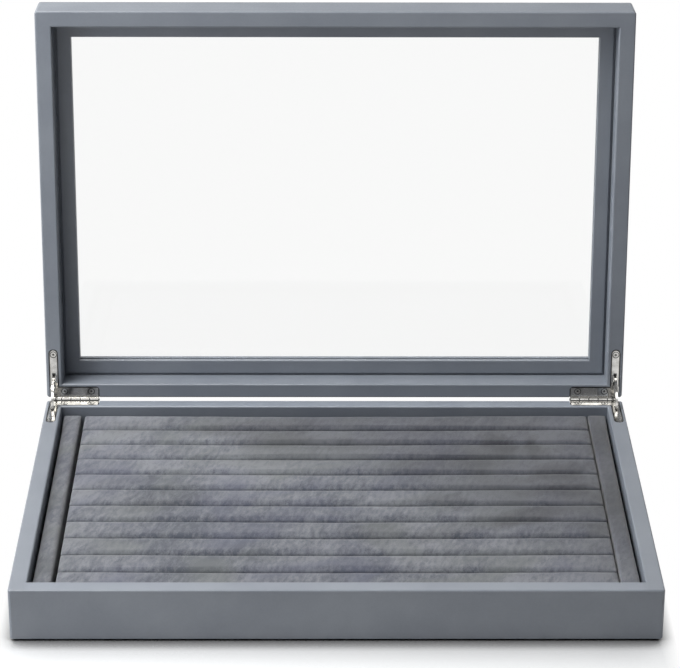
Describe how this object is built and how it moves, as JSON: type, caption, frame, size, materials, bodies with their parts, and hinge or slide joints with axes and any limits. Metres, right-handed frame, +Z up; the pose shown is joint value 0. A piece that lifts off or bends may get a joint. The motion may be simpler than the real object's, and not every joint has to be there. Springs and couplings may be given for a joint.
{
  "type": "cufflink display box",
  "caption": "Shallow leatherette-covered display box with a glazed hinged lid and a suede tray of padded rolls whose slots hold cufflinks.",
  "frame": {"origin": "middle of the flat underside of the base", "axes": "+X to the right along the hinge line, +Y from the front towards the hinges, +Z up out of the tray"},
  "size_m": [0.365, 0.2948, 0.2827],
  "materials": {
    "case_leatherette": "smooth grey leatherette with a soft sheen",
    "suede": "brushed grey suede with nap marks",
    "board": "grey-faced fibreboard",
    "felt": "dark felt",
    "clear_glass": "clear polished glass",
    "nickel": "polished nickel plate"
  },
  "bodies": {
    "base": {"base_front_wall": "case_leatherette", "base_right_wall": "case_leatherette", "base_rear_wall": "case_leatherette", "base_left_wall": "case_leatherette", "base_bottom_panel": "board", "base_underside_felt": "felt", "tray_board": "board", "roll_01": "suede", "roll_02": "suede", "roll_03": "suede", "roll_04": "suede", "roll_05": "suede", "roll_06": "suede", "roll_07": "suede", "roll_08": "suede", "roll_09": "suede", "roll_10": "suede", "roll_11": "suede", "side_strip_left": "suede", "side_strip_right": "suede", "hinge_base_leaf_left": "nickel", "hinge_base_leaf_right": "nickel", "hinge_pin_left": "nickel", "hinge_pin_right": "nickel", "base_hinge_screws": "nickel"},
    "lid": {"lid_front_rail": "case_leatherette", "lid_right_rail": "case_leatherette", "lid_rear_rail": "case_leatherette", "lid_left_rail": "case_leatherette", "glass_pane": "clear_glass", "glazing_bead_front": "case_leatherette", "glazing_bead_right": "case_leatherette", "glazing_bead_rear": "case_leatherette", "glazing_bead_left": "case_leatherette", "hinge_lid_leaf_left": "nickel", "hinge_lid_leaf_right": "nickel", "lid_hinge_screws": "nickel"},
    "stay_left": {"hinge_stay_left": "nickel"},
    "stay_right": {"hinge_stay_right": "nickel"}
  },
  "joints": [
    {"name": "lid_hinge", "type": "hinge", "parent": "base", "child": "lid", "pos_m": [0, 0.1262, 0.0322], "axis": [1, 0, 0], "range_deg": [0, 94]},
    {"name": "stay_left_swing", "type": "hinge", "parent": "base", "child": "stay_left", "pos_m": [-0.1777, 0.1262, 0.0322], "axis": [1, 0, 0], "range_deg": [0, 47]},
    {"name": "stay_right_swing", "type": "hinge", "parent": "base", "child": "stay_right", "pos_m": [0.1777, 0.1262, 0.0322], "axis": [1, 0, 0], "range_deg": [0, 47]}
  ],
  "couplings": [
    {"joint": "stay_left_swing", "follows": "lid_hinge", "ratio": 0.5},
    {"joint": "stay_right_swing", "follows": "lid_hinge", "ratio": 0.5}
  ]
}
